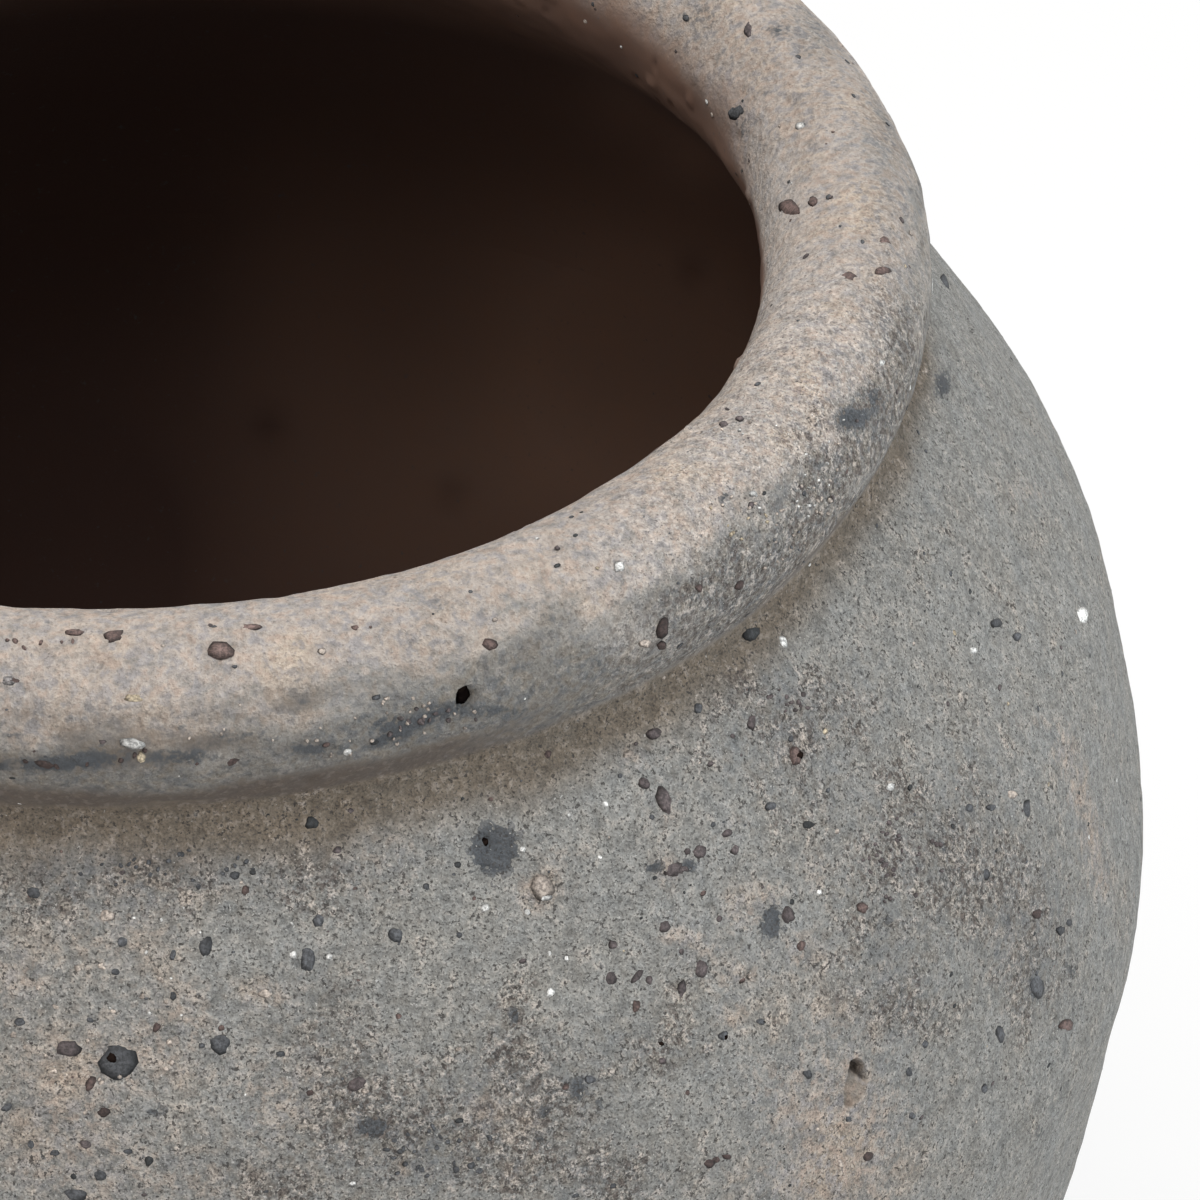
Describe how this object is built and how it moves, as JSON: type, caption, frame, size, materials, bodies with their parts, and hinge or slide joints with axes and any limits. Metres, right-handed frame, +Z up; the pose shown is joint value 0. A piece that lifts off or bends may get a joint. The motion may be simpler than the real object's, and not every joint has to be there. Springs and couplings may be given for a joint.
{
  "type": "terracotta planter",
  "caption": "Round-bellied coil-built clay planter with a fat rolled rim, open mouth and a drain hole in its floor stopped by a rubber bung.",
  "frame": {"origin": "on the ground under the middle of the foot ring", "axes": "+Z up along the pot's axis of revolution; +X and +Y are any two square directions, and the picture looks roughly along +Y"},
  "size_m": [0.3, 0.3, 0.2555],
  "materials": {
    "body_clay": "rough unglazed fired clay, grey with brown patches, coarse dark and pale grit",
    "rim_clay": "rough unglazed fired clay, pinkish beige on top and charred grey on its outer side",
    "bung_rubber": "matt moulded rubber"
  },
  "bodies": {
    "pot": {"base_slab": "body_clay", "foot_course": "body_clay", "lower_course": "body_clay", "belly_course": "body_clay", "shoulder_course": "body_clay", "neck_course": "body_clay", "rim_roll": "rim_clay"},
    "bung": {"drain_bung": "bung_rubber"}
  },
  "joints": [
    {"name": "bung_pull", "type": "slide", "parent": "pot", "child": "bung", "axis": [0, 0, 1], "range_m": [0, 0.03]}
  ]
}
